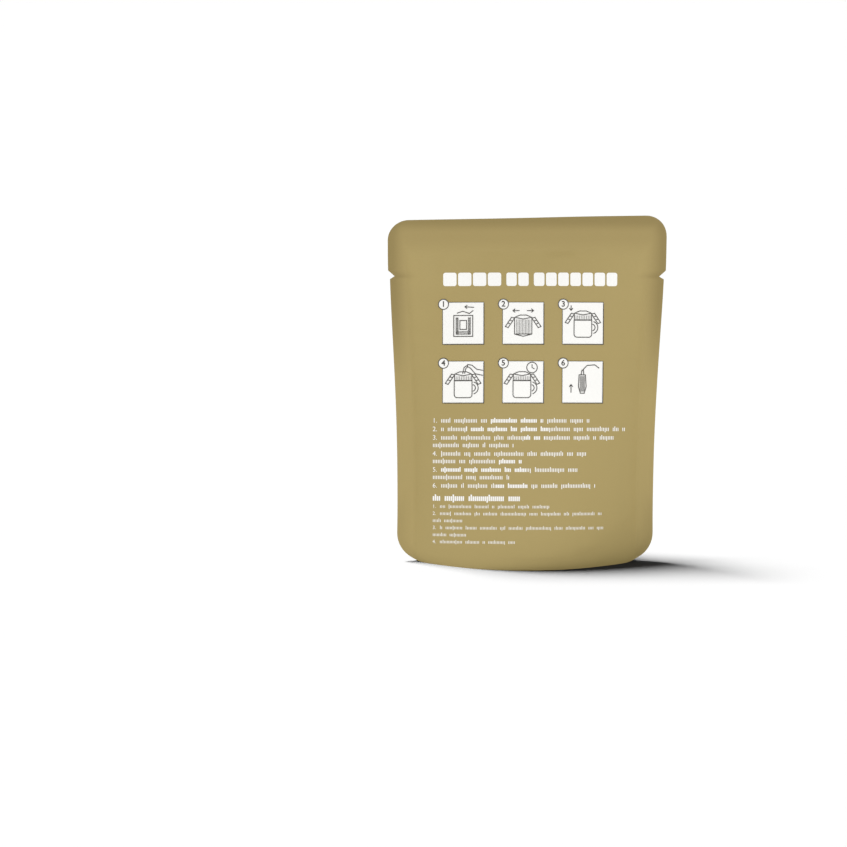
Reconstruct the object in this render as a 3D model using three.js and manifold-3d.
// A filled stand-up pouch that holds one drip coffee filter. Two panels of matt laminate film and a
// folded base gusset are heat-sealed together, so the whole pack is one solid. The printed face looks
// along -Y and the plain face along +Y. Millimetres, +Z up, origin on the floor under the middle.

import * as THREE from "three";
import { mergeVertices } from "three/addons/utils/BufferGeometryUtils.js";
import Module from "manifold-3d";

const wasm = await Module();
wasm.setup();

// Film and seals
const POUCH_WIDTH = 100; // across the header, over both side seals
const POUCH_HEIGHT = 128.5; // floor to top edge
const FILM = 0.15; // one layer of laminate
const TOP_SEAL = 12; // height of the flat seal along the top
const SIDE_SEAL = 6; // width of the flat seal down each side
const TOP_RADIUS = 7.5; // die-cut corners of the header
const BASE_RADIUS = 7; // die-cut corners beside the base

// Tear notches, and the header above them
const NOTCH_DROP = 21.5; // top edge to the point of the notch
const NOTCH_DEPTH = 1.7; // side edge to the point of the notch
const NOTCH_ABOVE = 2.2; // height of the long flank over the point
const NOTCH_BELOW = 1.1; // height of the short flank under the point
const HEADER_STEP = 0.6; // the header stands this much wider at each side

// How far the contents push each panel out from the plane of the seals
const BELLY_DEPTH = 13; // at the fullest height
const BELLY_HEIGHT = 24; // height of the fullest place
const BASE_DEPTH = 12; // at the floor
const FULLNESS = 2.4; // power of the curve above the belly: 1 is a wedge, more is fuller

// Base gusset, folded up between the panels
const SKIRT_HEIGHT = 4; // seal of panel and gusset at the middle of the base
const GUSSET_HEIGHT = 20; // the gusset's fold, at the side seals
const RIDGE_HEIGHT = 9; // the same fold, at the middle of the base
const SKIRT_SWEEP = 3; // power of the curve of the seal line towards the sides
const RIDGE_SWEEP = 2.4; // power of the curve of the fold towards the sides
const GUSSET_SAG = 1.5; // power of the gusset's curve up to its fold: 1 is straight, more sags
const RECESS_END = 1; // film between the recess and the inner edge of the side seal

// Print on the -Y face, as raised fields
const PRINT_CLEARANCE = 0.3; // film to the underside of a field
const PRINT_THICKNESS = 0.2;
const PRINT_LEFT = 30.2; // left edge of the title and the cards, from the middle
const TITLE_DROP = 20.1; // top edge of the pouch to the top of the title bar
const TITLE_WIDTH = 62;
const TITLE_HEIGHT = 4.7;
const TITLE_ROUND = 1;
const CARD_SIZE = 15;
const CARD_ROUND = 0.4;
const CARD_COLUMNS = 3;
const CARD_ROWS = 2;
const CARD_GAP_ACROSS = 6.7;
const CARD_GAP_DOWN = 5.9;
const CARDS_UNDER_TITLE = 5.6;
const BADGE_RADIUS = 1.8; // disc for the step number
const BADGE_INSET = 0.6; // its centre, in from the card's upper left corner
const TEXT_MARGIN = 7.2; // inner edge of the side seal to the text column
const TEXT_UNDER_CARDS = 5.6;
const TEXT_FOOT = 9.4; // floor to the middle of the last line
const LINE_HEIGHT = 1.2;
const HEADING_HEIGHT = 1.6;
const NOTE_HEIGHT = 0.9;
const INSTRUCTION_LINES = [0.82, 1, 0.94, 0.4, 0.8, 0.46, 0.76, 0.36, 0.85]; // shares of the column
const HEADING_LINE = 0.45;
const NOTE_LINES = [0.62, 0.86, 0.2, 0.9, 0.24, 0.44];
const HEADING_SPACE = 1.3; // heading's line spacing, in plain line spacings

// Fineness of the mesh
const PANEL_COLUMNS = 26;
const PANEL_ROWS = 27;
const GUSSET_STEPS = 6; // across half the gusset
const SKIRT_STEPS = 3; // up the inner wall of the skirt
const CORNER_STEPS = 16; // round a die-cut corner
const DISC_STEPS = 12; // round half a badge
const BAR_STEPS = 1; // round an eighth of the end of a bar
const CUT_MARGIN = 5; // how far a cutter reaches past the film

const SEAL_LINE = POUCH_HEIGHT - TOP_SEAL;
const NOTCH_LINE = POUCH_HEIGHT - NOTCH_DROP;
const PANEL_WIDTH = POUCH_WIDTH - 2 * (SIDE_SEAL + HEADER_STEP); // flat film between the side seals

// Distance of a panel's middle from the seal plane, at height z.
function panelDepth(z) {
  if (z >= SEAL_LINE) return 0;
  if (z <= BELLY_HEIGHT) {
    const rise = Math.sin((Math.PI / 2) * Math.max(z / BELLY_HEIGHT, 0));
    return BASE_DEPTH + (BELLY_DEPTH - BASE_DEPTH) * rise;
  }
  const up = (z - BELLY_HEIGHT) / (SEAL_LINE - BELLY_HEIGHT);
  return BELLY_DEPTH * (1 - up ** FULLNESS);
}

// Half the angle of the arc that a flat width of film bows into when its middle stands out by depth.
function arcHalfAngle(depth) {
  let low = 0;
  let high = Math.PI / 2;
  for (let pass = 0; pass < 40; pass++) {
    const middle = (low + high) / 2;
    const reached = (PANEL_WIDTH * (1 - Math.cos(middle))) / (2 * middle);
    if (reached < depth) low = middle;
    else high = middle;
  }
  return (low + high) / 2;
}

// A point of the film between the side seals: across is the distance along the film from the middle
// of the panel. The film doesn't stretch, so the pouch narrows where it bulges.
function filmPoint(across, z) {
  const depth = panelDepth(z);
  if (depth < 1e-6) return { x: across, out: 0 };
  const half = arcHalfAngle(depth);
  const radius = PANEL_WIDTH / (2 * half);
  const angle = across / radius;
  return { x: radius * Math.sin(angle), out: radius * (Math.cos(angle) - Math.cos(half)) };
}

// Half the width over the side seals, at height z. The step to the header lies inside the notch.
function halfWidth(z) {
  const start = NOTCH_LINE - NOTCH_BELOW / 2;
  const end = NOTCH_LINE + NOTCH_ABOVE / 2;
  const step = THREE.MathUtils.clamp((z - start) / (end - start), 0, 1) * HEADER_STEP;
  return filmPoint(PANEL_WIDTH / 2, z).x + SIDE_SEAL + step;
}

function solidOf(geometry) {
  const bare = new THREE.BufferGeometry();
  bare.setAttribute("position", geometry.getAttribute("position"));
  bare.setIndex(geometry.getIndex());
  const merged = mergeVertices(bare, 1e-4);
  const vertProperties = new Float32Array(merged.getAttribute("position").array);
  const triVerts = new Uint32Array(merged.getIndex().array);
  return new wasm.Manifold(new wasm.Mesh({ numProp: 3, vertProperties, triVerts }));
}

function geometryOf(solid) {
  const { vertProperties, triVerts } = solid.getMesh();
  const geometry = new THREE.BufferGeometry();
  geometry.setAttribute("position", new THREE.BufferAttribute(vertProperties, 3));
  geometry.setIndex(new THREE.BufferAttribute(triVerts, 1));
  const faceted = geometry.toNonIndexed();
  faceted.computeVertexNormals();
  return faceted;
}

// A closed solid through sections of equal length. Each section is a loop that runs anticlockwise
// when the next one is nearer the eye, and its points pair up from its two ends, so that a ladder of
// faces between the pairs closes the first section and the last.
function loft(sections) {
  const count = sections[0].length;
  const faces = [];
  for (let s = 0; s + 1 < sections.length; s++) {
    const here = s * count;
    const there = here + count;
    for (let i = 0; i < count; i++) {
      const next = (i + 1) % count;
      faces.push(here + i, here + next, there + next, here + i, there + next, there + i);
    }
  }
  const last = (sections.length - 1) * count;
  for (let i = 0, mate = count - 1; mate - i > 1; i++, mate--) {
    faces.push(i, mate, mate - 1, last + i, last + mate - 1, last + mate);
    if (mate - 1 > i + 1) faces.push(i, mate - 1, i + 1, last + i, last + i + 1, last + mate - 1);
  }
  const geometry = new THREE.BufferGeometry();
  geometry.setAttribute("position", new THREE.Float32BufferAttribute(sections.flat(2), 3));
  geometry.setIndex(faces);
  return solidOf(geometry);
}

// A solid with an outline in x and z, drawn as a THREE.Shape, that runs along y from back to -front.
function prism(shape, front, back, curveSegments = 1) {
  const options = { depth: front + back, bevelEnabled: false, curveSegments };
  const geometry = new THREE.ExtrudeGeometry(shape, options);
  geometry.rotateX(Math.PI / 2);
  geometry.translate(0, back, 0);
  return solidOf(geometry);
}

function steps(from, to, count) {
  return Array.from({ length: count + 1 }, (_, i) => from + ((to - from) * i) / count);
}

// The filled pack before it is cut: one ring round both panels at each height.
function filledBody() {
  const columns = steps(-PANEL_WIDTH / 2, PANEL_WIDTH / 2, PANEL_COLUMNS);
  const heights = [
    ...steps(0, SEAL_LINE, PANEL_ROWS),
    NOTCH_LINE - NOTCH_BELOW / 2,
    NOTCH_LINE + NOTCH_ABOVE / 2,
    POUCH_HEIGHT,
  ].sort((a, b) => a - b);
  const rings = heights.map((z) => {
    const edge = halfWidth(z);
    const front = columns.map((across) => {
      const { x, out } = filmPoint(across, z);
      return [x, -out - FILM, z];
    });
    front.unshift([-edge, -FILM, z]);
    front.push([edge, -FILM, z]);
    const back = front.map(([x, y]) => [x, -y, z]).reverse();
    return [...front, ...back];
  });
  return loft(rings);
}

// The hollow under the base: inside the skirt, and below the gusset film, which rises from the seal
// line on each panel to its fold in the middle. Each section goes up the front wall, over the film
// and down the back wall, and starts and ends under the floor.
function gussetRecess() {
  const reach = PANEL_WIDTH / 2 - RECESS_END;
  const sections = steps(reach, -reach, PANEL_COLUMNS).map((across) => {
    const aside = Math.abs(across) / (PANEL_WIDTH / 2);
    const seal = SKIRT_HEIGHT + (GUSSET_HEIGHT - SKIRT_HEIGHT) * aside ** SKIRT_SWEEP;
    const ridge = RIDGE_HEIGHT + (GUSSET_HEIGHT - RIDGE_HEIGHT) * aside ** RIDGE_SWEEP;
    const wall = steps(0, seal, SKIRT_STEPS).map((z) => {
      const { x, out } = filmPoint(across, z);
      return [x, FILM - out, z];
    });
    const [sealX, sealY] = wall.at(-1);
    const film = steps(1, 0, GUSSET_STEPS).slice(1);
    const rise = film.map((share) => {
      return [sealX, sealY * share, seal + (ridge - seal) * (1 - share) ** GUSSET_SAG];
    });
    const floor = [wall[0][0], wall[0][1], -CUT_MARGIN];
    const front = [floor, ...wall, ...rise];
    const back = front.slice(0, -1).map(([x, y, z]) => [x, -y, z]);
    return [...front, ...back.reverse()];
  });
  return loft(sections);
}

// A square block less its inscribed quarter round, for one corner of the film.
function cornerCutter(x, z, side, up, radius) {
  const shape = new THREE.Shape();
  const out = side * CUT_MARGIN;
  const over = up * CUT_MARGIN;
  shape.moveTo(x + out, z + over);
  shape.lineTo(x - side * radius, z + over);
  for (const turn of steps(0, Math.PI / 2, CORNER_STEPS)) {
    const across = x - side * radius * (1 - Math.sin(turn));
    shape.lineTo(across, z - up * radius * (1 - Math.cos(turn)));
  }
  shape.lineTo(x + out, z - up * radius);
  return prism(shape, BELLY_DEPTH + CUT_MARGIN, BELLY_DEPTH + CUT_MARGIN);
}

// The V of a tear notch, its flanks run on past the side edge.
function notchCutter(side) {
  const tip = new THREE.Vector2(side * (halfWidth(NOTCH_LINE - NOTCH_BELOW) - NOTCH_DEPTH), NOTCH_LINE);
  const flank = (z) => {
    const mouth = new THREE.Vector2(side * halfWidth(z), z);
    return mouth.sub(tip).multiplyScalar(2).add(tip);
  };
  const shape = new THREE.Shape([tip, flank(NOTCH_LINE - NOTCH_BELOW), flank(NOTCH_LINE + NOTCH_ABOVE)]);
  return prism(shape, CUT_MARGIN, CUT_MARGIN);
}

function pouchSolid() {
  let pouch = filledBody().subtract(gussetRecess());
  for (const side of [-1, 1]) {
    pouch = pouch.subtract(cornerCutter(side * halfWidth(POUCH_HEIGHT), POUCH_HEIGHT, side, 1, TOP_RADIUS));
    pouch = pouch.subtract(cornerCutter(side * halfWidth(0), 0, side, -1, BASE_RADIUS));
    pouch = pouch.subtract(notchCutter(side));
  }
  return pouch;
}

// A thin sheet that follows the printed face at the print's clearance.
function printSheet() {
  const inner = PRINT_CLEARANCE + FILM;
  const sections = steps(0, SEAL_LINE, PANEL_ROWS).map((z) => {
    const outer = steps(-PANEL_WIDTH / 2, PANEL_WIDTH / 2, PANEL_COLUMNS).map((across) => {
      const { x, out } = filmPoint(across, z);
      return [x, -out - inner - PRINT_THICKNESS, z];
    });
    const under = outer.map(([x, y]) => [x, y + PRINT_THICKNESS, z]).reverse();
    return [...outer, ...under];
  });
  return loft(sections);
}

function roundedBar(left, bottom, width, height, round) {
  const shape = new THREE.Shape();
  const corner = Math.min(round, height / 2, width / 2);
  shape.moveTo(left + corner, bottom);
  shape.lineTo(left + width - corner, bottom);
  shape.absarc(left + width - corner, bottom + corner, corner, -Math.PI / 2, 0);
  shape.absarc(left + width - corner, bottom + height - corner, corner, 0, Math.PI / 2);
  shape.absarc(left + corner, bottom + height - corner, corner, Math.PI / 2, Math.PI);
  shape.absarc(left + corner, bottom + corner, corner, Math.PI, Math.PI * 1.5);
  return prism(shape, BELLY_DEPTH + CUT_MARGIN, 0, BAR_STEPS);
}

// The printed fields, as a list of node names and solids.
function printFields() {
  const sheet = printSheet();
  const fields = [];
  const print = (name, outline) => fields.push({ name, solid: sheet.intersect(outline) });

  const titleBottom = POUCH_HEIGHT - TITLE_DROP - TITLE_HEIGHT;
  print("print_title", roundedBar(-PRINT_LEFT, titleBottom, TITLE_WIDTH, TITLE_HEIGHT, TITLE_ROUND));

  const cardsTop = titleBottom - CARDS_UNDER_TITLE;
  for (let row = 0; row < CARD_ROWS; row++) {
    for (let column = 0; column < CARD_COLUMNS; column++) {
      const left = -PRINT_LEFT + column * (CARD_SIZE + CARD_GAP_ACROSS);
      const top = cardsTop - row * (CARD_SIZE + CARD_GAP_DOWN);
      const card = roundedBar(left, top - CARD_SIZE, CARD_SIZE, CARD_SIZE, CARD_ROUND);
      const disc = new THREE.Shape();
      disc.absarc(left + BADGE_INSET, top - BADGE_INSET, BADGE_RADIUS, 0, Math.PI * 2);
      const badge = prism(disc, BELLY_DEPTH + CUT_MARGIN, 0, DISC_STEPS);
      print(`print_step_${row * CARD_COLUMNS + column + 1}`, card.add(badge));
    }
  }

  // The lines of text stand as plain bars, spread from under the cards down to the foot.
  const lines = [
    ...INSTRUCTION_LINES.map((share) => ({ share, height: LINE_HEIGHT, space: 1 })),
    { share: HEADING_LINE, height: HEADING_HEIGHT, space: HEADING_SPACE },
    ...NOTE_LINES.map((share) => ({ share, height: NOTE_HEIGHT, space: 1 })),
  ];
  const cardsBottom = cardsTop - CARD_ROWS * CARD_SIZE - (CARD_ROWS - 1) * CARD_GAP_DOWN;
  const firstLine = cardsBottom - TEXT_UNDER_CARDS;
  const spaces = lines.slice(1).reduce((sum, line) => sum + line.space, 0);
  const spacing = (firstLine - TEXT_FOOT) / spaces;
  const columnHalf = filmPoint(PANEL_WIDTH / 2, BELLY_HEIGHT).x - TEXT_MARGIN;
  let middle = firstLine;
  lines.forEach(({ share, height, space }, index) => {
    if (index > 0) middle -= space * spacing;
    const width = 2 * columnHalf * share;
    const outline = roundedBar(-columnHalf, middle - height / 2, width, height, height / 2);
    print(`print_line_${String(index + 1).padStart(2, "0")}`, outline);
  });
  return fields;
}

const laminate = new THREE.MeshStandardMaterial({ color: "#b09c69", roughness: 0.62, metalness: 0 });
const whiteInk = new THREE.MeshStandardMaterial({ color: "#fdfcf8", roughness: 0.55, metalness: 0 });

const dripCoffeePouch = new THREE.Group();
const pouch = new THREE.Mesh(geometryOf(pouchSolid()), laminate);
pouch.name = "pouch";
dripCoffeePouch.add(pouch);
for (const { name, solid } of printFields()) {
  const field = new THREE.Mesh(geometryOf(solid), whiteInk);
  field.name = name;
  dripCoffeePouch.add(field);
}

export default dripCoffeePouch;
